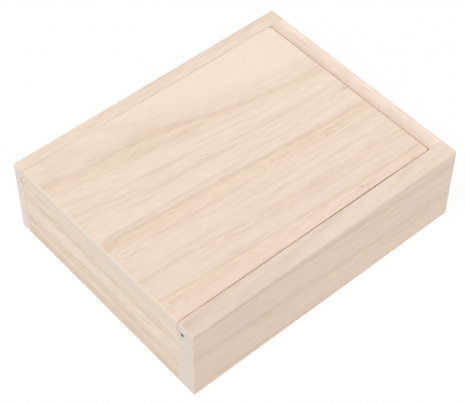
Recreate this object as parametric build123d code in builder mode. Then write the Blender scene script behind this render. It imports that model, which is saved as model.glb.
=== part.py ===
from build123d import *
import os

os.makedirs("parts", exist_ok=True)

# A small unfinished wooden box for one pack of playing cards, with a lid that slides in a groove.
# +X runs along the slide to the closed far end, +Y runs across to the back wall, +Z is up.
# The origin is on the table, under the middle of the box. All sizes are in millimetres.

# Outside of the box
box_length = 110.0
box_width = 88.0
box_height = 30.4

# Walls: the side walls run the full length, the back one thinner, and the end walls stand between them
front_wall_thickness = 6.7
back_wall_thickness = 5.4
end_wall_thickness = 5.9

# Lid board, flush with the top of the walls, and the groove that holds its tongue
lid_thickness = 5.8
lip_height = 3.4
groove_depth = 2.4
tongue_reach = 2.0

# Running clearances of the lid
gap_under_lid = 0.1
gap_over_tongue = 0.2
gap_front_of_lid = 0.3
gap_behind_lid = 0.15
gap_beyond_lid = 0.35

# Base panel, let up into a rabbet that is routed round the underside of the four walls
base_thickness = 3.0
base_recess = 0.3
rabbet_reach = 3.0
rabbet_corner_radius = 4.0
gap_round_base = 0.15

# Sanded edges
outer_edge_radius = 0.5
lid_nose_radius = 1.1
lid_edge_radius = 0.3
inner_edge_radius = 0.25

# Levels and places that follow from the sizes above
near_x = -box_length / 2
far_x = box_length / 2
front_y = -box_width / 2
back_y = box_width / 2
well_front_y = front_y + front_wall_thickness
well_back_y = back_y - back_wall_thickness
well_middle_y = (well_front_y + well_back_y) / 2
well_length = box_length - 2 * end_wall_thickness
well_width = well_back_y - well_front_y
groove_floor_z = box_height - lid_thickness - gap_under_lid
groove_roof_z = box_height - lip_height
groove_height = groove_roof_z - groove_floor_z
ledge_z = base_recess + base_thickness
rabbet_length = well_length + 2 * rabbet_reach
rabbet_width = well_width + 2 * rabbet_reach

# The space that is routed out of the four walls for the base panel
with BuildPart() as base_rabbet:
    with BuildSketch(Plane.XY):
        with Locations((0, well_middle_y)):
            RectangleRounded(rabbet_length, rabbet_width, rabbet_corner_radius)
    extrude(amount=ledge_z)


# A length of side wall, standing at the front: sanded outside, with the lid's groove along its inner face
def side_moulding(thickness):
    with BuildPart() as moulding:
        with BuildSketch(Plane.XY):
            with Locations((0, front_y)):
                Rectangle(box_length, thickness, align=(Align.CENTER, Align.MIN))
        extrude(amount=box_height)
        outer_face = moulding.faces().sort_by(Axis.Y)[0]
        end_edges = moulding.edges().filter_by(Axis.Y)
        fillet(outer_face.edges() + end_edges, radius=outer_edge_radius)
        with BuildSketch(Plane.YZ.offset(near_x)):
            with Locations((front_y + thickness, groove_floor_z)):
                Rectangle(groove_depth, groove_height, align=(Align.MAX, Align.MIN))
        extrude(amount=box_length, mode=Mode.SUBTRACT)
        top_face = moulding.faces().sort_by(Axis.Z)[-1]
        fillet(top_face.edges().sort_by(Axis.Y)[-1], radius=inner_edge_radius)
    return moulding.part


# Front side wall
with BuildPart() as side_wall_front:
    add(side_moulding(front_wall_thickness))
    add(base_rabbet.part, mode=Mode.SUBTRACT)

# Back side wall: the thinner length, turned to face the front one
with BuildPart() as side_wall_back:
    mirror(side_moulding(back_wall_thickness), about=Plane.XZ)
    add(base_rabbet.part, mode=Mode.SUBTRACT)

# Far end wall: full height, with the groove that holds down the lid's far end
with BuildPart() as end_wall_far:
    with BuildSketch(Plane.XY):
        with Locations((far_x, well_middle_y)):
            Rectangle(end_wall_thickness, well_width, align=(Align.MAX, Align.CENTER))
    extrude(amount=box_height)
    outer_face = end_wall_far.faces().sort_by(Axis.X)[-1]
    fillet(outer_face.edges().filter_by(Axis.Y), radius=outer_edge_radius)
    with BuildSketch(Plane.XY.offset(groove_floor_z)):
        with Locations((far_x - end_wall_thickness, well_middle_y)):
            Rectangle(groove_depth, well_width, align=(Align.MIN, Align.CENTER))
    extrude(amount=groove_height, mode=Mode.SUBTRACT)
    add(base_rabbet.part, mode=Mode.SUBTRACT)
    top_face = end_wall_far.faces().sort_by(Axis.Z)[-1]
    fillet(top_face.edges().sort_by(Axis.X)[0], radius=inner_edge_radius)

# Near end wall: lower than the others, so that the lid slides out over it
with BuildPart() as end_wall_near:
    with BuildSketch(Plane.XY):
        with Locations((near_x, well_middle_y)):
            Rectangle(end_wall_thickness, well_width, align=(Align.MIN, Align.CENTER))
    extrude(amount=groove_floor_z)
    bottom_outer_edge = end_wall_near.edges().filter_by(Axis.Y).group_by(Axis.X)[0].sort_by(Axis.Z)[0]
    fillet(bottom_outer_edge, radius=outer_edge_radius)
    top_face = end_wall_near.faces().sort_by(Axis.Z)[-1]
    fillet(top_face.edges().filter_by(Axis.Y), radius=inner_edge_radius)
    add(base_rabbet.part, mode=Mode.SUBTRACT)

# Base panel: a thin board glued up against the ledge of the rabbet
with BuildPart() as base_panel:
    with BuildSketch(Plane.XY.offset(base_recess)):
        with Locations((0, well_middle_y)):
            RectangleRounded(
                rabbet_length - 2 * gap_round_base,
                rabbet_width - 2 * gap_round_base,
                rabbet_corner_radius - gap_round_base,
            )
    extrude(amount=base_thickness)

# Sliding lid: a board with a shoulder cut along three top edges, which leaves the tongue below
lid_front_y = well_front_y + gap_front_of_lid
lid_back_y = well_back_y - gap_behind_lid
lid_far_x = far_x - end_wall_thickness - gap_beyond_lid
lid_underside_z = box_height - lid_thickness
tongue_top_z = groove_roof_z - gap_over_tongue
with BuildPart() as lid:
    with BuildSketch(Plane.XY.offset(lid_underside_z)):
        with Locations((near_x, lid_front_y - tongue_reach)):
            Rectangle(
                lid_far_x + tongue_reach - near_x,
                lid_back_y - lid_front_y + 2 * tongue_reach,
                align=(Align.MIN, Align.MIN),
            )
    extrude(amount=tongue_top_z - lid_underside_z)
    with BuildSketch(Plane.XY.offset(tongue_top_z)):
        with Locations((near_x, lid_front_y)):
            Rectangle(lid_far_x - near_x, lid_back_y - lid_front_y, align=(Align.MIN, Align.MIN))
    extrude(amount=box_height - tongue_top_z)
    top_face = lid.faces().sort_by(Axis.Z)[-1]
    fillet(top_face.edges().sort_by(Axis.X)[0], radius=lid_nose_radius)
    top_face = lid.faces().sort_by(Axis.Z)[-1]
    fillet(top_face.edges().sort_by(Axis.X)[1:], radius=lid_edge_radius)

pieces = {
    "side_wall_front": side_wall_front,
    "side_wall_back": side_wall_back,
    "end_wall_far": end_wall_far,
    "end_wall_near": end_wall_near,
    "base_panel": base_panel,
    "lid": lid,
}
for node_name, piece in pieces.items():
    piece.part.label = node_name
    export_step(piece.part, f"parts/{node_name}.step")
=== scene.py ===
import math

import bmesh
import bpy
from bpy.props import FloatProperty, FloatVectorProperty, PointerProperty
from mathutils import Euler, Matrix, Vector, noise


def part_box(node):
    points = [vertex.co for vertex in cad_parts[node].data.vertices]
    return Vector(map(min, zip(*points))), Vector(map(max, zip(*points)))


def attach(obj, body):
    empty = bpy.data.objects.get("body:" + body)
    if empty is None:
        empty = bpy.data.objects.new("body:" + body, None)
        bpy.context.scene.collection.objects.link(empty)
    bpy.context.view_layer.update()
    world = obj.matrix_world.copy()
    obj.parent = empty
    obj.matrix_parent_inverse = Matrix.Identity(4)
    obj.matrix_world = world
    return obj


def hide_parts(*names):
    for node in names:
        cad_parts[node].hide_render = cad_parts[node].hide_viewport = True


bl_info = {
    "name": "Playing card box",
    "version": (1, 0, 0),
    "blender": (4, 5, 0),
    "location": "View3D > Sidebar > Card Box",
    "description": "Makes the boards of a small wooden box with a sliding lid, and a plain studio round it",
    "category": "Object",
}

# The frame gives every board's place: +X along the slide to the closed far end, +Y to the back, +Z up
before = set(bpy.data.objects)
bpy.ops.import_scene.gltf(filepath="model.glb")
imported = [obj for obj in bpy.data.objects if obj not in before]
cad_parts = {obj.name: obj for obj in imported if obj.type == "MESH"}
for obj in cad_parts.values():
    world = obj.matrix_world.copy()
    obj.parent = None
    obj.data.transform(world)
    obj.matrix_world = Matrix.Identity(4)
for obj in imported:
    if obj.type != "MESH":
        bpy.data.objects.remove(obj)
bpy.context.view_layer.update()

MM = 0.001


# Colours

def srgb(hex_colour):
    """Turns an sRGB hex colour into the linear colour that Blender works in."""
    channels = [int(hex_colour[i:i + 2], 16) / 255 for i in (0, 2, 4)]
    return [c / 12.92 if c <= 0.04045 else ((c + 0.055) / 1.055) ** 2.4 for c in channels]


def blend_colours(first, second, share):
    """The colour that lies this share of the way from the first to the second."""
    return [a + (b - a) * share for a, b in zip(first, second)]


# Settings that a user would change

def length_setting(name, description, millimetres):
    return FloatProperty(name=name, description=description, default=millimetres * MM, unit="LENGTH")


def colour_setting(name, description, hex_colour):
    return FloatVectorProperty(
        name=name, description=description, default=srgb(hex_colour), subtype="COLOR")


class CardBoxSizes(bpy.types.PropertyGroup):
    lip_height: length_setting("Lip height", "Wood left above the groove", 3.4)
    groove_depth: length_setting(
        "Groove depth", "How far the groove runs into the walls at its deeper cut", 2.85)
    tongue_reach: length_setting("Tongue reach", "How far the lid's tongue stands out at its far end", 1.85)
    gap_over_tongue: length_setting("Gap over tongue", "Running clearance between tongue and lip", 0.2)
    front_wall_at_near_end: length_setting(
        "Front wall, near end", "Thickness of the front wall at the open end", 6.93)
    front_wall_at_far_end: length_setting(
        "Front wall, far end", "Thickness of the front wall at the closed end", 6.43)
    back_wall_at_near_end: length_setting(
        "Back wall, near end", "Thickness of the back wall at the open end", 4.5)
    back_wall_at_far_end: length_setting(
        "Back wall, far end", "Thickness of the back wall at the closed end", 6.1)
    front_gap_at_near_end: length_setting(
        "Front gap, near end", "Gap in front of the lid at the open end", 0.16)
    front_gap_at_far_end: length_setting(
        "Front gap, far end", "Gap in front of the lid at the closed end", 0.02)
    front_gap_bow: length_setting(
        "Front gap, bow", "How much wider the front gap is where the edge bows most", 0.26)
    back_gap_at_ends: length_setting("Back gap, ends", "Mean gap behind the lid at both of its ends", 0.03)
    back_gap_bow: length_setting("Back gap, bow", "How much wider the back gap is half-way along", 0.05)
    back_gap_least: length_setting(
        "Back gap, least", "Gap where the lid all but touches the back wall", 0.01)
    gap_under_lid_at_back: length_setting(
        "Gap under lid, back", "How far the near end wall is sanded down at its back end", 0.45)
    tongue_taper: length_setting("Tongue taper", "How much thinner the tongue is at its tip", 0.9)
    groove_step: length_setting("Groove step", "How much shallower one of the groove's two cuts is", 0.9)
    deep_cut_height: length_setting("Deep cut height", "Height of the deeper of the groove's two cuts", 0.7)
    lip_slope: length_setting("Lip slope", "How much thinner the lip is at the groove's mouth", 0.3)
    gap_round_base: length_setting("Gap round base", "Gap between the base panel and its rabbet", 0.15)
    outer_edge_radius: length_setting("Outer edges", "Radius sanded on the walls' outer edges", 0.5)
    inner_edge_radius: length_setting("Inner edges", "Radius sanded on the walls' inner top edges", 0.25)
    tight_edge_radius: length_setting(
        "Tight edges", "Radius of the edges along the lid's back and far seams", 0.12)
    joint_edge_radius: length_setting(
        "Joint edges", "Radius left by the saw where two boards are glued", 0.07)
    lid_nose_radius: length_setting("Lid nose", "Radius sanded on the lid's near top edge", 0.8)
    lid_edge_radius: length_setting("Lid front edge", "Radius sanded on the lid's front top edge", 0.3)
    lid_corner_radius: length_setting(
        "Lid corners", "Radius of the lid's far corners, seen from above", 0.9)
    hand_sanding: length_setting("Hand sanding", "How far an edge wanders from straight", 0.04)


class CardBoxColours(bpy.types.PropertyGroup):
    pale: colour_setting("Pale wood", "Wood between the rings, near the heart", "f4e2ce")
    pink: colour_setting("Pinkish wood", "Wood between the rings, further out", "eed9c8")
    late: colour_setting("Late wood", "Wood just inside a ring", "ead6c5")
    line: colour_setting("Ring line", "The dark line of a ring", "dcc5b0")
    early: colour_setting("Early wood", "Yellowish open wood just outside a ring", "ecd7c0")
    pore: colour_setting("Pores", "Cut pores, seen as short streaks", "b9987a")
    end_grey: colour_setting(
        "End grain, grey", "Greyish wood where the saw cut across the fibres", "ddd5ca")
    end_warm: colour_setting("End grain, warm", "Warm patches in the end grain", "ead3bf")
    # Painted shade: dark brown in the groove's corners and on the tongue's tips, standing in for its shadow
    painted_shade: colour_setting("Painted groove shade", "Shade painted into the groove's corners", "6a4c38")
    arris: colour_setting("Edges", "Rubbed wood along the sanded edges", "e9ccaf")
    ply_face: colour_setting("Plywood face", "Face veneer of the base panel", "ead6bd")
    ply_figure: colour_setting("Plywood figure", "Darker figure of the face veneer", "dcc3a4")
    ply_core: colour_setting("Plywood core", "Middle ply, cut across", "c9ab86")
    floor: colour_setting("Floor", "Plain white floor", "fefefe")


class CardBoxStage(bpy.types.PropertyGroup):
    sky: FloatProperty(name="Sky", description="Even light from all round", default=0.48)
    key: FloatProperty(name="Key lamp", description="Power of the soft lamp", default=330.0, unit="POWER")
    floor_shade: FloatProperty(
        name="Floor shade", description="Share of the floor's own shading that the camera sees",
        default=0.12, subtype="FACTOR")


def sizes():
    return bpy.context.scene.card_box_sizes


def colours():
    return bpy.context.scene.card_box_colours


# Nodes

def empty_tree(owner):
    """The node tree of a new material or world, with nothing in it."""
    owner.use_nodes = True
    owner.node_tree.nodes.clear()
    return owner.node_tree


def add_node(tree, kind, links=None, **settings):
    """Adds a node with its settings. An input named in links gets a socket, the first output in use of
    another node, or a plain value."""
    added = tree.nodes.new(kind)
    for name, value in settings.items():
        setattr(added, name, value)
    for name, source in (links or {}).items():
        if isinstance(source, bpy.types.Node):
            source = next(output for output in source.outputs if output.enabled)
        if isinstance(source, bpy.types.NodeSocket):
            tree.links.new(source, added.inputs[name])
        else:
            added.inputs[name].default_value = source
    return added


def rgba(colour, alpha=1.0):
    return (*colour, alpha)


# Paulownia, sawn, planed and sanded, with no finish on it.
# It is a pale, soft, ring-porous wood: quiet rings, each a dark line with open yellowish wood outside it
# that fades to pale over most of a ring, short pore streaks, and a dull, faintly silky surface.

# In millimetres: a ring's line, the late wood inside it, how far a ring wanders, and a side board
LINE_WIDTH = 1.4
LATE_WIDTH = 5.0
WANDER_HEIGHT = 2.6
BOARD_LENGTH = 110.0
MEAN_SHADE = 1.005
PITH_AXIS_TURN = {"X": 0.0, "Y": math.radians(90)}
# How long the waves of each noise are along the grain and how wide across it, in millimetres
WANDER_WAVES = (60, 22)
RAGGED_WAVES = (12, 0.9)
PRESENCE_WAVES = (24, 5)
DRIFT_WAVES = (30, 9)
FINE_LINE_WAVES = (38, 1.2)
FIBRE_WAVES = (14, 0.5)
PORE_WAVES = (3.6, 0.28)
PORE_GROUP_WAVES = (13, 3.5)


def toned(colour, tone):
    """A colour of the palette as this board's wood has it."""
    return [min(channel * factor, 1.0) for channel, factor in zip(colour, tone)]


def fill_ring_ramp(ramp, rings, tone, pale_heart, late_depth, early_depth, low, high):
    """Lays the rings' colours out by their radius. The ramp's alpha says how much of the ring shows in
    the fibres and pores."""
    tint = colours()
    late = blend_colours(tint.late, tint.line, late_depth)
    last = max(len(rings) - 1, 1)
    inmost = tint.pale if pale_heart else tint.pink
    smooth = 0.1 if pale_heart else 0.3
    stops = []
    for number, (radius, strength, fade) in enumerate(rings):
        quiet = blend_colours(inmost, tint.pink, number / last)
        next_quiet = blend_colours(inmost, tint.pink, min((number + 1) / last, 1.0))
        stops.append((radius - LATE_WIDTH, quiet, 0.3 if number else smooth))
        stops.append((radius - LINE_WIDTH / 2, blend_colours(quiet, late, strength), 0.4))
        stops.append((radius, blend_colours(quiet, tint.line, strength), 0.6))
        early = blend_colours(next_quiet, tint.early, strength * early_depth)
        stops.append((radius + LINE_WIDTH / 2, early, 1.0))
        stops.append((radius + fade, next_quiet, 0.3))
    ramp.elements[0].position = 0.0
    ramp.elements[0].color = rgba(toned(inmost, tone), smooth)
    ramp.elements.remove(ramp.elements[1])
    for radius, colour, pores in stops:
        stop = ramp.elements.new((radius - low) / (high - low))
        stop.color = rgba(toned(colour, tone), pores)


def fill_tone_ramp(ramp, positions, tones):
    """Lays one tone out up to the first position, and the other from the second position on."""
    for stop, position, tone in zip(ramp.elements, positions, tones):
        stop.position = position
        stop.color = tone


def grain_noise(tree, heart, waves, seed, detail=2.0):
    """Noise stretched along the grain, with waves of this length and width in millimetres."""
    length, width = waves
    scale = add_node(tree, "ShaderNodeVectorMath", {
        0: heart, 1: (1 / length, 1 / width, 1 / width)}, operation="MULTIPLY")
    return add_node(tree, "ShaderNodeTexNoise", {
        "Vector": scale, "W": seed, "Scale": 1.0, "Detail": detail}, noise_dimensions="4D")


def paulownia(
        name, grain, pith, tilt, tone, rings, seed, pale_heart=False, swelling=None, end_warmth=(0.0, 0.3),
        raggedness=2.0, late_depth=0.0, early_depth=1.0, fibre_depth=1.0, mottling=(5.0, 1.3, 0.2),
        painted_light_along=0.0):
    """Paulownia as one board of it looks: pith is a point on the tree's heart and tilt the heart's slope to
    the board, in degrees. Tone is how its red, green and blue differ from the palette. Each ring is its
    radius in millimetres, its strength and how far its early wood fades. End warmth is how warm the
    patches in its end grain are, raggedness how far its rings fray, in millimetres, late depth how close
    the wood inside a ring comes to the ring's dark line, and early depth how yellow the wood outside it
    is. Fibre depth is how strongly its fibres show, mottling how long, wide and deep its blotches are,
    and the painted light along it how much lighter it is painted from the box's near end to its far end:
    painted light, making up for the lamp lighting the far end less."""
    tint = colours()
    material = bpy.data.materials.new(name)
    tree = empty_tree(material)
    place = add_node(tree, "ShaderNodeTexCoord")

    # Millimetres along and across the heart of the tree
    heart = add_node(tree, "ShaderNodeMapping", {
        "Vector": place.outputs["Object"],
        "Location": Vector(pith) * MM,
        "Rotation": (0, math.radians(tilt), PITH_AXIS_TURN[grain]),
        "Scale": (MM, MM, MM),
    }, vector_type="TEXTURE")

    # Distance from the heart, with the wander of the rings and their ragged, streaky edges
    bend = grain_noise(tree, heart, WANDER_WAVES, seed, detail=1.0)
    ragged = grain_noise(tree, heart, RAGGED_WAVES, seed)
    flat = add_node(tree, "ShaderNodeVectorMath", {0: heart, 1: (0, 1, 1)}, operation="MULTIPLY")
    distance = add_node(tree, "ShaderNodeVectorMath", {0: flat}, operation="LENGTH")
    bent = add_node(tree, "ShaderNodeMath", {
        0: bend, 1: WANDER_HEIGHT, 2: distance}, operation="MULTIPLY_ADD")
    radius = add_node(tree, "ShaderNodeMath", {
        0: ragged, 1: raggedness, 2: bent}, operation="MULTIPLY_ADD")
    # Both noises average half of their height, which is taken off again
    noise_lift = (WANDER_HEIGHT + raggedness) / 2
    if swelling:
        centre, reach, height = swelling
        swell_place = add_node(tree, "ShaderNodeMapping", {
            "Vector": place.outputs["Object"],
            "Location": Vector(centre) * MM,
            "Scale": Vector(reach) * MM,
        }, vector_type="TEXTURE")
        swell = add_node(tree, "ShaderNodeTexGradient", {
            "Vector": swell_place}, gradient_type="QUADRATIC_SPHERE")
        radius = add_node(tree, "ShaderNodeMath", {
            0: swell.outputs["Fac"], 1: height, 2: radius}, operation="MULTIPLY_ADD")

    # Rings, which come and go along the grain
    low = rings[0][0] - 2 * LATE_WIDTH
    high = rings[-1][0] + rings[-1][2] + LATE_WIDTH
    ring_place = add_node(tree, "ShaderNodeMapRange", {
        "Value": radius, "From Min": low + noise_lift, "From Max": high + noise_lift})
    ring = add_node(tree, "ShaderNodeValToRGB", {"Fac": ring_place})
    fill_ring_ramp(ring.color_ramp, rings, tone, pale_heart, late_depth, early_depth, low, high)
    ring_share = ring.outputs["Alpha"]
    presence = grain_noise(tree, heart, PRESENCE_WAVES, seed + 9)
    faded = add_node(tree, "ShaderNodeMapRange", {
        "Value": presence, "From Min": 0.36, "From Max": 0.6, "To Min": 0.3, "To Max": -0.1})
    between = toned(blend_colours(tint.pale if pale_heart else tint.pink, tint.pink, 0.5), tone)
    ringed = add_node(tree, "ShaderNodeMix", {0: faded, 6: ring, 7: rgba(between)}, data_type="RGBA")

    # Broad drift of colour, from yellowish to pinkish
    drift = grain_noise(tree, heart, DRIFT_WAVES, seed + 5)
    drift_tint = add_node(tree, "ShaderNodeValToRGB", {"Fac": drift})
    fill_tone_ramp(drift_tint.color_ramp, (0.35, 0.65), ((1.0, 0.998, 0.973, 1), (1.0, 0.985, 0.99, 1)))
    drifted = add_node(tree, "ShaderNodeMix", {
        0: 1.0, 6: ringed, 7: drift_tint}, data_type="RGBA", blend_type="MULTIPLY")

    # Fine lines between the rings, which run along with them
    beside = add_node(tree, "ShaderNodeSeparateXYZ", {"Vector": heart})
    ring_run = add_node(tree, "ShaderNodeCombineXYZ", {"X": beside.outputs["X"], "Y": bent})
    fine = grain_noise(tree, ring_run, FINE_LINE_WAVES, seed + 3, detail=3.0)
    fine_reach = add_node(tree, "ShaderNodeMapRange", {
        "Value": ring_share, "From Min": 0.1, "From Max": 0.35, "To Min": 0.0, "To Max": 0.6})
    fine_line = add_node(tree, "ShaderNodeMapRange", {"Value": fine, "From Min": 0.48, "From Max": 0.72})
    fine_share = add_node(tree, "ShaderNodeMath", {0: fine_line, 1: fine_reach}, operation="MULTIPLY")
    lined = add_node(tree, "ShaderNodeMix", {
        0: fine_share, 6: drifted, 7: rgba(toned(tint.line, tone))}, data_type="RGBA")

    # Fibres, drawn half a millimetre wide because real ones are too fine to show, and strongest near a ring
    fibre = grain_noise(tree, heart, FIBRE_WAVES, seed, detail=3.0)
    fibre_reach = add_node(tree, "ShaderNodeMapRange", {
        "Value": ring_share, "To Min": 0.08 * fibre_depth, "To Max": 0.26 * fibre_depth})
    fibre_height = add_node(tree, "ShaderNodeMath", {0: fibre, 1: 0.5}, operation="SUBTRACT")
    # Painted light: the board is painted lighter towards the box's far end, making up for the lamp lighting
    # that end less
    painted_light_share = add_node(tree, "ShaderNodeMapRange", {
        "Value": beside.outputs["X"], "From Min": 0.0, "From Max": BOARD_LENGTH,
        "To Min": MEAN_SHADE - painted_light_along / 2, "To Max": MEAN_SHADE + painted_light_along / 2})
    fibre_shade = add_node(tree, "ShaderNodeMath", {
        0: fibre_height, 1: fibre_reach, 2: painted_light_share}, operation="MULTIPLY_ADD")

    # Mottling a few millimetres long, where the rings show
    mottle = grain_noise(tree, heart, mottling[:2], seed + 11, detail=1.0)
    mottle_reach = add_node(tree, "ShaderNodeMapRange", {
        "Value": ring_share, "From Min": 0.1, "From Max": 0.3, "To Min": 0.0, "To Max": mottling[2]})
    mottle_height = add_node(tree, "ShaderNodeMath", {0: mottle, 1: 0.5}, operation="SUBTRACT")
    wood_shade = add_node(tree, "ShaderNodeMath", {
        0: mottle_height, 1: mottle_reach, 2: fibre_shade}, operation="MULTIPLY_ADD")
    fibred = add_node(tree, "ShaderNodeVectorMath", {0: lined, "Scale": wood_shade}, operation="SCALE")

    # Pores: streaks 0.2 to 0.3 mm wide and 2 to 4 mm long, in loose groups outside a ring
    pore = grain_noise(tree, heart, PORE_WAVES, seed, detail=0.0)
    group = grain_noise(tree, heart, PORE_GROUP_WAVES, seed + 2, detail=1.0)
    group_share = add_node(tree, "ShaderNodeMapRange", {
        "Value": group, "From Min": 0.48, "From Max": 0.72})
    pore_mask = add_node(tree, "ShaderNodeMapRange", {
        "Value": pore, "From Min": 0.6, "From Max": 0.76, "To Min": 0.0, "To Max": 0.7})
    grouped = add_node(tree, "ShaderNodeMath", {0: pore_mask, 1: group_share}, operation="MULTIPLY")
    pore_share = add_node(tree, "ShaderNodeMath", {0: grouped, 1: ring_share}, operation="MULTIPLY")
    pored = add_node(tree, "ShaderNodeMix", {
        0: pore_share, 6: fibred, 7: rgba(tint.pore)}, data_type="RGBA")

    # End grain is greyer, in greyish and warm patches a centimetre across, and soaks up light
    patch = add_node(tree, "ShaderNodeTexNoise", {
        "Vector": place.outputs["Object"], "W": seed, "Scale": 1 / (10 * MM), "Detail": 2.0},
        noise_dimensions="4D")
    patch_tint = add_node(tree, "ShaderNodeValToRGB", {"Fac": patch})
    end_tones = []
    for warmth in end_warmth:
        end_tones.append(rgba(toned(blend_colours(tint.end_grey, tint.end_warm, warmth), tone)))
    fill_tone_ramp(patch_tint.color_ramp, (0.42, 0.58), end_tones)
    across = add_node(tree, "ShaderNodeVectorMath", {
        0: place.outputs["Normal"], 1: (1, 0, 0) if grain == "X" else (0, 1, 0)}, operation="DOT_PRODUCT")
    turned = add_node(tree, "ShaderNodeMath", {0: across}, operation="ABSOLUTE")
    end_share = add_node(tree, "ShaderNodeMapRange", {
        "Value": turned, "From Min": 0.08, "From Max": 0.5, "To Min": 0.0, "To Max": 0.85})
    ended = add_node(tree, "ShaderNodeMix", {0: end_share, 6: pored, 7: patch_tint}, data_type="RGBA")

    # Rubbed edges, and painted shade: dark brown in the groove's corners and on the tongue's tips,
    # standing in for the shadow in the groove
    worn = add_node(tree, "ShaderNodeAttribute", attribute_name="arris")
    worn_share = add_node(tree, "ShaderNodeMath", {0: worn.outputs["Fac"], 1: fibre}, operation="MULTIPLY")
    rubbed = add_node(tree, "ShaderNodeMix", {
        0: worn_share, 6: ended, 7: rgba(tint.arris)}, data_type="RGBA")
    painted_shade = add_node(tree, "ShaderNodeAttribute", attribute_name="painted_shade")
    groove_shaded = add_node(tree, "ShaderNodeMix", {
        0: painted_shade.outputs["Fac"], 6: rubbed, 7: rgba(tint.painted_shade)}, data_type="RGBA")

    # Relief: fibres and pores a few hundredths of a millimetre deep
    relief = add_node(tree, "ShaderNodeMath", {0: pore_share, 1: -1.5, 2: fibre}, operation="MULTIPLY_ADD")
    bump = add_node(tree, "ShaderNodeBump", {
        "Height": relief, "Strength": 0.35 * fibre_depth, "Distance": 0.08 * MM})
    rough = add_node(tree, "ShaderNodeMapRange", {
        "Value": fibre, "From Min": 0.3, "From Max": 0.7, "To Min": 0.7, "To Max": 0.85})
    surface = add_node(tree, "ShaderNodeBsdfPrincipled", {
        "Base Color": groove_shaded, "Roughness": rough, "Normal": bump, "Specular IOR Level": 0.3})
    add_node(tree, "ShaderNodeOutputMaterial", {"Surface": surface})
    return material


# Boards

ARC_STEPS = 4
LONG_EDGE_WEAR = 0.5
STEP_MERGE = 0.004 * MM
RABBET_CORNER_RADIUS = 4 * MM
# A rounded corner takes up at most this share of the sides beside it
ARC_LIMIT = 0.45
# How far from a corner the next point on the side lies, and at most which share of the side that is
SUPPORT = 0.4 * MM
SUPPORT_LIMIT = 0.25
# Where the sections lie on a rounded end, as shares of its length
END_SHARES = (0.0, 0.05, 0.2, 0.45, 1.0)
# A face with more corners than this is a board's flat end
FLAT_END_CORNERS = 8
SHARP_ANGLE = math.radians(35)


def ease(distance, radius):
    """How far a face stands in from its plane, at this distance from an edge rounded to this radius."""
    if distance >= radius:
        return 0.0
    return radius - math.sqrt(radius ** 2 - (radius - max(distance, 0.0)) ** 2)


def wander(seed, along, wavelength=14 * MM):
    """A smooth wander between about -1 and 1 along a board, the same in every run."""
    return noise.noise(Vector((along / wavelength, seed * 7.31, 0.5)))


def varied(radius, seed, along, share=0.3):
    """A hand-sanded radius, which varies along the edge by up to about this share of it."""
    return radius * (1 + share * wander(seed, along))


def corner_arc(before, here, after, radius, groove_shade):
    """The rounded corner as points, each with how worn it is and how much painted groove shade it takes."""
    radius = min(radius, ARC_LIMIT * (before - here).length, ARC_LIMIT * (after - here).length)
    start = here + (before - here).normalized() * radius
    end = here + (after - here).normalized() * radius
    centre = start + end - here
    arc = []
    for step in range(ARC_STEPS + 1):
        angle = step / ARC_STEPS * math.pi / 2
        point = centre + (start - centre) * math.cos(angle) + (end - centre) * math.sin(angle)
        arc.append((point.x, point.y, LONG_EDGE_WEAR * math.sin(2 * angle), groove_shade))
    return arc


def outline(corners, parts):
    """A board's section: corners as (u, v, radius, painted groove shade), and how many points lie on
    the side after each.
    """
    flat = [Vector(corner[:2]) for corner in corners]
    groove_shades = [corner[3] if len(corner) > 3 else 0.0 for corner in corners]
    count = len(corners)
    arcs = []
    for i in range(count):
        arcs.append(corner_arc(flat[i - 1], flat[i], flat[(i + 1) % count], corners[i][2], groove_shades[i]))
    points = []
    for i in range(count):
        points += arcs[i] if corners[i][2] else [(*flat[i], 0.0, groove_shades[i])]
        start = Vector(arcs[i][-1][:2])
        end = Vector(arcs[(i + 1) % count][0][:2])
        support = min(SUPPORT_LIMIT, SUPPORT / max((end - start).length, STEP_MERGE))
        for step in range(parts[i]):
            share = support + (1 - 2 * support) * step / max(parts[i] - 1, 1)
            point = start.lerp(end, share)
            groove_shade = groove_shades[i] + (groove_shades[(i + 1) % count] - groove_shades[i]) * share
            points.append((point.x, point.y, 0.0, groove_shade))
    return points


def even_places(first, last, count):
    """Places at even steps, none of them worn."""
    return [(first + (last - first) * step / count, 0.0) for step in range(count + 1)]


def stations(start, end, radius, spacing=3 * MM):
    """Places along a board for its sections, close together at its rounded ends, each with how worn it is."""
    first = start + radius + SUPPORT
    last = end - radius - SUPPORT
    near_end = [(start + share * radius, 1 - share) for share in END_SHARES]
    far_end = [(end - share * radius, 1 - share) for share in reversed(END_SHARES)]
    return near_end + even_places(first, last, max(2, round((last - first) / spacing))) + far_end


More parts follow.
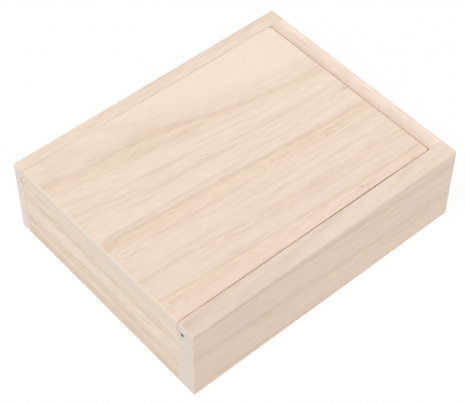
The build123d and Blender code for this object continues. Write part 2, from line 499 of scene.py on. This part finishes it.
def swept_mesh(name, grain, places, corners_at, parts):
    """A closed board, swept along its grain through the sections that corners_at gives."""
    bm = bmesh.new()
    worn = bm.verts.layers.float.new("worn")
    painted_shade = bm.verts.layers.float.new("painted_shade")
    rings = []
    for place, end_wear in places:
        ring = []
        for u, v, wear, groove_shade in outline(corners_at(place), parts):
            spot = {"X": (place, u, v), "Y": (u, place, v), "Z": (u, v, place)}[grain]
            vertex = bm.verts.new(spot)
            vertex[worn] = max(wear, end_wear)
            vertex[painted_shade] = groove_shade
            ring.append(vertex)
        rings.append(ring)
    for first, second in zip(rings, rings[1:]):
        for i in range(len(first)):
            j = (i + 1) % len(first)
            bm.faces.new((first[i], first[j], second[j], second[i]))
    bm.faces.new(rings[0])
    bm.faces.new(rings[-1])
    bmesh.ops.remove_doubles(bm, verts=bm.verts, dist=STEP_MERGE)
    bmesh.ops.dissolve_degenerate(bm, edges=bm.edges, dist=STEP_MERGE)
    bmesh.ops.recalc_face_normals(bm, faces=bm.faces)
    # Wear and the painted groove shade go to the faces' corners, so that the flat ends can stay free of them
    for name_on_faces, on_verts in (("arris", "worn"), ("painted_shade", "painted_shade")):
        at_corners = bm.loops.layers.float.new(name_on_faces)
        at_verts = bm.verts.layers.float[on_verts]
        for face in bm.faces:
            flat_end = len(face.verts) > FLAT_END_CORNERS
            for corner in face.loops:
                corner[at_corners] = 0.0 if flat_end else corner.vert[at_verts]
        bm.verts.layers.float.remove(at_verts)
    mesh = bpy.data.meshes.new(name)
    bm.to_mesh(mesh)
    bm.free()
    return mesh


def new_object(name, mesh):
    added = bpy.data.objects.new(name, mesh)
    bpy.context.scene.collection.objects.link(added)
    return added


def cut_away(board, cutter):
    """Cuts the cutter's shape out of the board, and deletes the cutter."""
    cut = board.modifiers.new("cut", "BOOLEAN")
    cut.operation = "DIFFERENCE"
    cut.solver = "EXACT"
    cut.object = cutter
    bpy.context.view_layer.update()
    shown = board.evaluated_get(bpy.context.evaluated_depsgraph_get())
    mesh = bpy.data.meshes.new_from_object(shown)
    board.modifiers.remove(cut)
    board.data = mesh
    bpy.data.objects.remove(cutter)


def smooth_sides(mesh):
    """Shades the sanded rounds smooth, and keeps sawn corners and flat ends sharp."""
    bm = bmesh.new()
    bm.from_mesh(mesh)
    for face in bm.faces:
        face.smooth = True
    for edge in bm.edges:
        if len(edge.link_faces) != 2:
            continue
        at_end = any(len(face.verts) > FLAT_END_CORNERS for face in edge.link_faces)
        edge.smooth = not at_end and edge.calc_face_angle() < SHARP_ANGLE
    bm.to_mesh(mesh)
    bm.free()


def fit_board(board, material, node, body):
    """Gives the board its material, and puts it in its CAD node's place on its body."""
    smooth_sides(board.data)
    board.data.materials.clear()
    board.data.materials.append(material)
    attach(board, body)
    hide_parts(node)


def share_along(x):
    """How far along the box x lies, from 0 at the near end to 1 at the far end."""
    low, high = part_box("side_wall_front")
    return (x - low.x) / (high.x - low.x)


def front_wall_inner_y(x):
    """The front wall's inner face: the wall is a little thicker at the near end than at the far end."""
    near = sizes().front_wall_at_near_end
    far = sizes().front_wall_at_far_end
    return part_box("side_wall_front")[0].y + near + (far - near) * share_along(x)


def back_wall_inner_y(x):
    """The back wall's inner face: the wall is a little thinner at the near end than at the far end."""
    near = sizes().back_wall_at_near_end
    far = sizes().back_wall_at_far_end
    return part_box("side_wall_back")[1].y - near - (far - near) * share_along(x)


def groove_levels():
    """The groove's floor and roof: the near end wall stands up to the floor."""
    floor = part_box("end_wall_near")[1].z
    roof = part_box("side_wall_front")[1].z - sizes().lip_height
    return floor, roof


def base_cutter():
    """The space routed out of the four walls for the base panel."""
    low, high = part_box("base_panel")
    gap = sizes().gap_round_base

    def corners_at(_z):
        return [
            (low.x - gap, low.y - gap, RABBET_CORNER_RADIUS),
            (high.x + gap, low.y - gap, RABBET_CORNER_RADIUS),
            (high.x + gap, high.y + gap, RABBET_CORNER_RADIUS),
            (low.x - gap, high.y + gap, RABBET_CORNER_RADIUS),
        ]

    mesh = swept_mesh("base_space", "Z", [(-MM, 0.0), (high.z, 0.0)], corners_at, (2, 2, 2, 2))
    return new_object("base_space", mesh)


# Side walls

INNER_EDGE_VARIATION = 0.4
# The back wall's two cuts differ by only this share of what the front wall's do
BACK_STEP_SHARE = 0.25


def side_wall_board(name, node, outer_y, inner_y_at, inner_radius, deeper_at_roof, step, seed):
    """A side wall with its groove: outer_y is the outer face, inner_y_at(x) the inner face. The groove was
    sawn in two cuts, and the one at its roof, or else the one at its floor, went deeper by this step."""
    size = sizes()
    low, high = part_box(node)
    floor_z, roof_z = groove_levels()
    inward = 1 if inner_y_at(low.x) > outer_y else -1
    shallow_y = (high.y if inward > 0 else low.y) - inward * (size.groove_depth - size.groove_step)
    deep_y = shallow_y - inward * step
    # A fourth number at a corner is painted shade, dark brown standing in for the shadow deep in the groove
    if deeper_at_roof:
        bottom = [
            (deep_y, roof_z, 0, 1.0),
            (deep_y, roof_z - size.deep_cut_height, 0, 1.0),
            (shallow_y, roof_z - size.deep_cut_height, 0, 1.0),
            (shallow_y, floor_z, 0, 0.2),
        ]
    else:
        bottom = [
            (shallow_y, roof_z, 0, 0.2),
            (shallow_y, floor_z + size.deep_cut_height, 0, 0.4),
            (deep_y, floor_z + size.deep_cut_height, 0, 0.4),
            (deep_y, floor_z, 0, 0.4),
        ]
    radius = size.outer_edge_radius
    joint = size.joint_edge_radius
    joint_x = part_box("end_wall_far")[0].x

    def corners_at(x):
        set_in = ease(min(x - low.x, high.x - x), radius)
        sway = size.hand_sanding * wander(seed, x)
        outer = outer_y + inward * set_in
        inner = inner_y_at(x) + inward * sway
        # The edge was sanded only beside the lid, not where the far end wall is glued on
        round_inside = joint
        if x < joint_x:
            round_inside = varied(inner_radius, seed + 2, x, INNER_EDGE_VARIATION)
        return [
            (outer, low.z + set_in, radius),
            (outer, high.z - set_in, varied(radius, seed + 1, x)),
            (inner, high.z - set_in, round_inside),
            (inner, roof_z + size.lip_slope, joint, 0.5),
            *bottom,
            (inner, floor_z, joint),
            (inner, low.z + set_in, joint),
        ]

    places = stations(low.x, high.x, radius)
    mesh = swept_mesh(name, "X", places, corners_at, (8, 3, 2, 2, 2, 2, 2, 2, 7, 3))
    return new_object(name, mesh)


class CARDBOX_OT_side_walls(bpy.types.Operator):
    """Make the front and back side walls, with the groove that the lid slides in"""
    bl_idname = "cardbox.side_walls"
    bl_label = "Side walls"

    def execute(self, context):
        front_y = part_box("side_wall_front")[0].y
        front = side_wall_board(
            "front_side_board", "side_wall_front", front_y, front_wall_inner_y,
            sizes().inner_edge_radius, True, sizes().groove_step, seed=1)
        cut_away(front, base_cutter())
        # The heart lies high above this board, so one ring runs out over its top near the open end,
        # and the lines on its face run down towards the far end
        # Its last setting paints it lighter towards the far end: painted light, making up for the lamp
        # lighting that end less
        front_wood = paulownia(
            "paulownia_front_side_sanded", "X", pith=(-55, -54, 80), tilt=2.4, tone=(0.98, 1.01, 1.035),
            rings=[(51.2, 0.9, 6.0), (65.2, 0.9, 8.0), (77.5, 0.8, 8.0)], seed=3.1,
            swelling=((-55, -44, 17), (160, 26, 14), 3.4), raggedness=1.2, early_depth=0.4,
            fibre_depth=0.6, mottling=(5.0, 1.6, 0.12), painted_light_along=0.05)
        fit_board(front, front_wood, "side_wall_front", "box")

        back_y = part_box("side_wall_back")[1].y
        back = side_wall_board(
            "back_side_board", "side_wall_back", back_y, back_wall_inner_y,
            sizes().tight_edge_radius, False, sizes().groove_step * BACK_STEP_SHARE, seed=4)
        cut_away(back, base_cutter())
        back_wood = paulownia(
            "paulownia_back_side_sanded", "X", pith=(-55, 60, 88), tilt=0.8, tone=(1.02, 1.05, 1.06),
            rings=[(48.0, 0.4, 7.5), (59.0, 0.4, 8.0), (70.5, 0.6, 8.0), (82.0, 0.7, 8.0)], seed=8.4)
        fit_board(back, back_wood, "side_wall_back", "box")
        return {"FINISHED"}


# End walls

DIP_LENGTH = 22 * MM


def end_wall_board(name, node, outer_x, inner_x, grooved, seed):
    """An end wall, glued between the side walls; its grain runs across the box."""
    size = sizes()
    low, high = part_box(node)
    start = front_wall_inner_y((low.x + high.x) / 2)
    end = back_wall_inner_y((low.x + high.x) / 2)
    inward = 1 if inner_x > outer_x else -1
    joint = size.joint_edge_radius
    floor_z, roof_z = groove_levels()
    groove_x = inner_x - inward * size.groove_depth
    top_radius = size.outer_edge_radius if grooved else joint

    def corners_at(y):
        set_in = ease(min(y - start, end - y), joint)
        sway = size.hand_sanding * wander(seed, y)
        outer = outer_x + inward * set_in
        inner = inner_x + inward * sway
        top = high.z - set_in
        if not grooved:
            # The lower wall is sanded down a little towards its back end
            dip = max(0.0, 1 - (end - y) / DIP_LENGTH)
            top -= size.gap_under_lid_at_back * dip * dip * (3 - 2 * dip)
        section = [
            (outer, low.z + set_in, size.outer_edge_radius),
            (outer, top, varied(top_radius, seed + 1, y)),
            (inner, top, varied(size.tight_edge_radius, seed + 2, y, INNER_EDGE_VARIATION)),
        ]
        if grooved:
            section += [
                (inner, roof_z, joint),
                (groove_x, roof_z, 0),
                (groove_x, floor_z, 0),
                (inner, floor_z, joint),
            ]
        section.append((inner, low.z + set_in, joint))
        return section

    parts = (8, 3, 2, 2, 2, 2, 7, 3) if grooved else (8, 3, 8, 3)
    mesh = swept_mesh(name, "Y", stations(start, end, joint), corners_at, parts)
    return new_object(name, mesh)


class CARDBOX_OT_end_walls(bpy.types.Operator):
    """Make the far end wall with its groove, and the lower near end wall"""
    bl_idname = "cardbox.end_walls"
    bl_label = "End walls"

    def execute(self, context):
        low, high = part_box("end_wall_far")
        far = end_wall_board("far_end_board", "end_wall_far", high.x, low.x, True, seed=9)
        cut_away(far, base_cutter())
        # The top darkens slowly from the far face to its inner edge by the seam: the heart is set beyond
        # the far face, and the ring near the seam is strong
        far_wood = paulownia(
            "paulownia_far_end_sanded", "Y", pith=(110, -44, 60), tilt=0.0, tone=(1.115, 1.15, 1.215),
            rings=[(55.0, 0.2, 6.0), (69.0, 1.4, 7.5), (80.0, 0.6, 7.5)], seed=5.7, late_depth=1.0)
        fit_board(far, far_wood, "end_wall_far", "box")

        low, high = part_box("end_wall_near")
        near = end_wall_board("near_end_board", "end_wall_near", low.x, high.x, False, seed=12)
        cut_away(near, base_cutter())
        near_wood = paulownia(
            "paulownia_near_end_sanded", "Y", pith=(-25, -44, 75), tilt=0.4, tone=(0.97, 1.03, 1.045),
            rings=[(63.6, 0.5, 3.0), (73.2, 0.9, 0.8), (78.7, 1.3, 1.6)], seed=2.2,
            raggedness=2.6, late_depth=1.0, fibre_depth=0.7, mottling=(4.0, 2.0, 0.2))
        fit_board(near, near_wood, "end_wall_near", "box")
        return {"FINISHED"}


# Lid

# Above 1, the front gap is widest past the middle, towards the far end
FRONT_GAP_SKEW = 1.8
# Where the bevel at the front tongue's tip starts, from its root at 0 to its tip at 1
TONGUE_KNEE = 0.7
# The back tongue thins by only this share of what the front one does
BACK_TAPER_SHARE = 0.5
BACK_GAP_WAVE = 9 * MM
# Where the sections lie on the nose and beside the far corners, as shares of their radius
NOSE_SHARES = (0.0, 0.03, 0.1, 0.25, 0.45, 0.7, 1.0)
CORNER_SHARES = (1.0, 0.6, 0.3, 0.1, 0.0)
LID_SECTIONS = 34
# Which wander each edge of the lid follows
FRONT_GAP_SEED = 90
BACK_GAP_SEED = 145
FRONT_EDGE_SEED = 22
BACK_EDGE_SEED = 23


def bowed_gap(near, far, bow, share, skew=1.0):
    """A gap beside a bowed edge, at this share of the way along it."""
    skewed = share ** skew
    return near + (far - near) * share + bow * 4 * skewed * (1 - skewed)


class CARDBOX_OT_lid(bpy.types.Operator):
    """Make the sliding lid, a board with a tongue along three sides"""
    bl_idname = "cardbox.lid"
    bl_label = "Lid"

    def execute(self, context):
        size = sizes()
        low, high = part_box("lid")
        shoulder_x = high.x - size.tongue_reach
        tongue_top = groove_levels()[1] - size.gap_over_tongue
        joint = size.joint_edge_radius
        nose = size.lid_nose_radius

        def corners_at(x):
            share = share_along(x)
            from_near = x - low.x
            set_in = ease(min(from_near, high.x - x), joint)
            plan_round = ease(max(shoulder_x - x, 0.0), size.lid_corner_radius)
            front_gap = bowed_gap(
                size.front_gap_at_near_end, size.front_gap_at_far_end, size.front_gap_bow, share,
                FRONT_GAP_SKEW)
            front_gap += size.hand_sanding * wander(FRONT_GAP_SEED, x)
            back_gap = bowed_gap(size.back_gap_at_ends, size.back_gap_at_ends, size.back_gap_bow, share)
            back_gap += 2 * size.hand_sanding * wander(BACK_GAP_SEED, x, BACK_GAP_WAVE)
            back_gap = max(back_gap, size.back_gap_least)
            board_front = front_wall_inner_y(x) + front_gap + plan_round + set_in
            tongue_root = tongue_top + size.lip_slope - STEP_MERGE
            knee_y = board_front + (low.y - board_front) * TONGUE_KNEE
            knee_z = tongue_top + size.lip_slope * (1 - TONGUE_KNEE)
            board_back = back_wall_inner_y(x) - back_gap - plan_round - set_in
            top = high.z - ease(from_near, nose) - ease(max(shoulder_x - x, 0.0), size.tight_edge_radius)
            if x > shoulder_x:
                top = tongue_top + STEP_MERGE / 2
            # The tongue thins to its tips: bevelled from above at the front, and less from below at the back
            # A fourth number at a corner is painted shade, dark brown on the tongue's tips for the shadow in
            # the groove
            return [
                (low.y + set_in, low.z + set_in, joint),
                (board_back, low.z + set_in, 0),
                (high.y - set_in, low.z + set_in + size.tongue_taper * BACK_TAPER_SHARE, joint, 0.3),
                (high.y - set_in, tongue_top, joint),
                (board_back, tongue_top, 0),
                (board_back, top, varied(size.tight_edge_radius, BACK_EDGE_SEED, x)),
                (board_front, top, varied(size.lid_edge_radius, FRONT_EDGE_SEED, x)),
                (board_front, min(tongue_root, top), 0, 0.4),
                (knee_y, min(knee_z, top), 0, 0.5),
                (low.y + set_in, tongue_top - size.tongue_taper, joint, 1.0),
            ]

        places = [(low.x + share * nose, 0.0) for share in NOSE_SHARES]
        first = low.x + nose + SUPPORT
        last = shoulder_x - size.lid_corner_radius - SUPPORT
        places += even_places(first, last, LID_SECTIONS)
        for share in CORNER_SHARES:
            places.append((shoulder_x - share * size.lid_corner_radius, 1 - share))
        for x in (shoulder_x + STEP_MERGE / 2, high.x - joint, high.x - joint / 3, high.x):
            places.append((x, 0.0))

        mesh = swept_mesh("lid_board", "X", places, corners_at, (18, 2, 2, 2, 3, 18, 3, 2, 2, 2))
        lid = new_object("lid_board", mesh)
        # The heart lies above the back edge and comes closer towards the far end, so the lines fan out
        # to the front. The swelling bends the first ring back, as wood bends round a branch.
        # Its last setting paints it lighter towards the far end: painted light, making up for the lamp
        # lighting that end less
        wood = paulownia(
            "paulownia_lid_sanded", "X", pith=(-55, 43.3, 75.4), tilt=5.8, tone=(1.0, 1.015, 1.02),
            rings=[
                (46.4, 0.75, 8.0), (54.6, 0.45, 5.5), (62.3, 0.8, 8.5), (76.2, 0.55, 6.0), (84.1, 0.65, 8.0)],
            seed=1.7, pale_heart=True, swelling=((-12, 29, 30), (46, 26, 30), 3.0), end_warmth=(0.3, 0.6),
            early_depth=1.25, mottling=(5.0, 1.3, 0.13), painted_light_along=0.03)
        fit_board(lid, wood, "lid", "lid")
        return {"FINISHED"}


# Base panel

MIDDLE_PLY_SHARE = 0.4
# How long the veneer's waves are along the panel and how wide across it, in millimetres
FIGURE_WAVES = (40, 9)
PLY_FIBRE_WAVES = (10, 0.5)


def ply_noise(tree, place, waves, detail, distortion=0.0):
    """Noise stretched along the panel, with waves of this length and width in millimetres."""
    length, width = waves
    stretched = add_node(tree, "ShaderNodeMapping", {
        "Vector": place.outputs["Object"],
        "Scale": (1 / (length * MM), 1 / (width * MM), 1 / (width * MM))})
    return add_node(tree, "ShaderNodeTexNoise", {
        "Vector": stretched, "Scale": 1.0, "Detail": detail, "Distortion": distortion})


def basswood_plywood(name):
    """Three-ply basswood, rotary cut and sanded: a bland face with wide wavy figure, and a darker middle
    ply."""
    tint = colours()
    material = bpy.data.materials.new(name)
    tree = empty_tree(material)
    place = add_node(tree, "ShaderNodeTexCoord")
    figure = ply_noise(tree, place, FIGURE_WAVES, detail=2.0, distortion=0.6)
    waves = add_node(tree, "ShaderNodeMath", {0: figure, 1: 7.0}, operation="MULTIPLY")
    wave = add_node(tree, "ShaderNodeMath", {0: waves, 1: 1.0}, operation="PINGPONG")
    wave_share = add_node(tree, "ShaderNodeMapRange", {
        "Value": wave, "From Min": 0.45, "From Max": 1.0, "To Min": 0.0, "To Max": 0.55})
    face = add_node(tree, "ShaderNodeMix", {
        0: wave_share, 6: rgba(tint.ply_face), 7: rgba(tint.ply_figure)}, data_type="RGBA")
    fibre = ply_noise(tree, place, PLY_FIBRE_WAVES, detail=3.0)
    shade = add_node(tree, "ShaderNodeMapRange", {
        "Value": fibre, "From Min": 0.3, "From Max": 0.7, "To Min": 0.93, "To Max": 1.04})
    shaded = add_node(tree, "ShaderNodeVectorMath", {0: face, "Scale": shade}, operation="SCALE")

    # The middle ply shows only on the panel's edge
    low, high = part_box("base_panel")
    height = add_node(tree, "ShaderNodeSeparateXYZ", {"Vector": place.outputs["Object"]})
    middle = (low.z + high.z) / 2
    half_core = (high.z - low.z) * MIDDLE_PLY_SHARE / 2
    core = add_node(tree, "ShaderNodeMath", {
        0: height.outputs["Z"], 1: middle, 2: half_core}, operation="COMPARE")
    edged = add_node(tree, "ShaderNodeMix", {0: core, 6: shaded, 7: rgba(tint.ply_core)}, data_type="RGBA")
    bump = add_node(tree, "ShaderNodeBump", {"Height": fibre, "Strength": 0.3, "Distance": 0.06 * MM})
    surface = add_node(tree, "ShaderNodeBsdfPrincipled", {
        "Base Color": edged, "Roughness": 0.78, "Normal": bump, "Specular IOR Level": 0.3})
    add_node(tree, "ShaderNodeOutputMaterial", {"Surface": surface})
    return material


class CARDBOX_OT_base(bpy.types.Operator):
    """Give the base panel its plywood; its shape is the CAD model's own"""
    bl_idname = "cardbox.base"
    bl_label = "Base panel"

    def execute(self, context):
        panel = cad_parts["base_panel"]
        panel.data.materials.clear()
        panel.data.materials.append(basswood_plywood("basswood_plywood_sanded"))
        return {"FINISHED"}


# Stage

def seen_share(tree):
    """1 for what the camera sees, straight or in a reflection or through glass, and 0 for other light."""
    ray = add_node(tree, "ShaderNodeLightPath")
    seen = add_node(tree, "ShaderNodeMath", {
        0: ray.outputs["Is Camera Ray"], 1: ray.outputs["Is Glossy Ray"]}, operation="MAXIMUM")
    return add_node(tree, "ShaderNodeMath", {
        0: seen, 1: ray.outputs["Is Transmission Ray"]}, operation="MAXIMUM")


def white_floor(name):
    """Matt white floor. The camera sees it as white, with a share of the shade that the box throws on it."""
    shade = bpy.context.scene.card_box_stage.floor_shade
    material = bpy.data.materials.new(name)
    tree = empty_tree(material)
    share = add_node(tree, "ShaderNodeMath", {0: seen_share(tree), 1: 1 - shade}, operation="MULTIPLY")
    paint = add_node(tree, "ShaderNodeBsdfDiffuse", {"Color": rgba(colours().floor)})
    white = add_node(tree, "ShaderNodeEmission", {"Color": (1, 1, 1, 1), "Strength": 1.0})
    mixed = add_node(tree, "ShaderNodeMixShader", {0: share, 1: paint, 2: white})
    add_node(tree, "ShaderNodeOutputMaterial", {"Surface": mixed})
    return material


def white_world():
    """Even light at the sky's strength, which the camera sees as plain white."""
    world = bpy.data.worlds.new("studio")
    tree = empty_tree(world)
    seen = seen_share(tree)
    light = add_node(tree, "ShaderNodeBackground", {
        "Color": (1, 1, 1, 1), "Strength": bpy.context.scene.card_box_stage.sky})
    white = add_node(tree, "ShaderNodeBackground", {"Color": (1, 1, 1, 1), "Strength": 1.0})
    mixed = add_node(tree, "ShaderNodeMixShader", {0: seen, 1: light, 2: white})
    add_node(tree, "ShaderNodeOutputWorld", {"Surface": mixed})
    return world


# The photo's viewpoint: the point it aims at, and how far, which way round and how high the camera stands
AIM = Vector((-4.212, -3.200, 15.2)) * MM
CAMERA_RANGE = 461.1 * MM
CAMERA_AZIMUTH = math.radians(-41.44)
CAMERA_ELEVATION = math.radians(49.75)
CAMERA_ROLL = math.radians(0.5)
CAMERA_LENS = 110.62

# The soft lamp stands high, to the left and a little to the front, so that the near end is lit more than
# the side
LAMP_DIRECTION = Vector((-0.406, -0.173, 0.898))
LAMP_DISTANCE = 7.2
LAMP_WIDTH = 5.4
FLOOR_WIDTH = 6.0


class CARDBOX_OT_stage(bpy.types.Operator):
    """Make the white floor, the soft light and the camera"""
    bl_idname = "cardbox.stage"
    bl_label = "Stage"

    def execute(self, context):
        scene = context.scene
        half = FLOOR_WIDTH / 2
        corners = [(-half, -half, 0), (half, -half, 0), (half, half, 0), (-half, half, 0)]
        mesh = bpy.data.meshes.new("floor")
        mesh.from_pydata(corners, [], [(0, 1, 2, 3)])
        mesh.materials.append(white_floor("floor_matt_white"))
        new_object("floor", mesh)

        lamp = bpy.data.lights.new("soft_lamp", "AREA")
        lamp.shape = "DISK"
        lamp.size = LAMP_WIDTH
        lamp.energy = scene.card_box_stage.key
        lamp_object = new_object("soft_lamp", lamp)
        lamp_object.location = LAMP_DIRECTION * LAMP_DISTANCE
        lamp_object.rotation_euler = LAMP_DIRECTION.to_track_quat("Z", "Y").to_euler()
        scene.world = white_world()

        camera = bpy.data.cameras.new("camera")
        camera.lens = CAMERA_LENS
        camera.sensor_width = 36.0
        camera.sensor_fit = "HORIZONTAL"
        camera.clip_start = 0.01
        camera_object = new_object("camera", camera)
        tilt = math.pi / 2 - CAMERA_ELEVATION
        looking = Euler((tilt, 0, CAMERA_AZIMUTH), "XYZ").to_quaternion()
        rolled = looking @ Euler((0, 0, CAMERA_ROLL), "XYZ").to_quaternion()
        camera_object.rotation_euler = rolled.to_euler()
        camera_object.location = AIM + looking @ Vector((0, 0, CAMERA_RANGE))
        scene.camera = camera_object

        scene.view_settings.view_transform = "Standard"
        return {"FINISHED"}


class CARDBOX_PT_panel(bpy.types.Panel):
    """Lists the steps that make the card box"""
    bl_idname = "CARDBOX_PT_panel"
    bl_label = "Playing card box"
    bl_space_type = "VIEW_3D"
    bl_region_type = "UI"
    bl_category = "Card Box"

    def draw(self, context):
        for operator in OPERATORS:
            self.layout.operator(operator.bl_idname)
        for group in ("card_box_sizes", "card_box_colours", "card_box_stage"):
            box = self.layout.box()
            for name in getattr(context.scene, group).__annotations__:
                box.prop(getattr(context.scene, group), name)


OPERATORS = (
    CARDBOX_OT_side_walls,
    CARDBOX_OT_end_walls,
    CARDBOX_OT_lid,
    CARDBOX_OT_base,
    CARDBOX_OT_stage,
)
SETTINGS = {
    "card_box_sizes": CardBoxSizes,
    "card_box_colours": CardBoxColours,
    "card_box_stage": CardBoxStage,
}


def register():
    for group_name, group in SETTINGS.items():
        bpy.utils.register_class(group)
        setattr(bpy.types.Scene, group_name, PointerProperty(type=group))
    for operator in OPERATORS:
        bpy.utils.register_class(operator)
    bpy.utils.register_class(CARDBOX_PT_panel)


def unregister():
    bpy.utils.unregister_class(CARDBOX_PT_panel)
    for operator in reversed(OPERATORS):
        bpy.utils.unregister_class(operator)
    for group_name, group in reversed(SETTINGS.items()):
        delattr(bpy.types.Scene, group_name)
        bpy.utils.unregister_class(group)


def main():
    register()
    for operator in OPERATORS:
        group, name = operator.bl_idname.split(".")
        getattr(getattr(bpy.ops, group), name)()


if __name__ == "__main__":
    main()
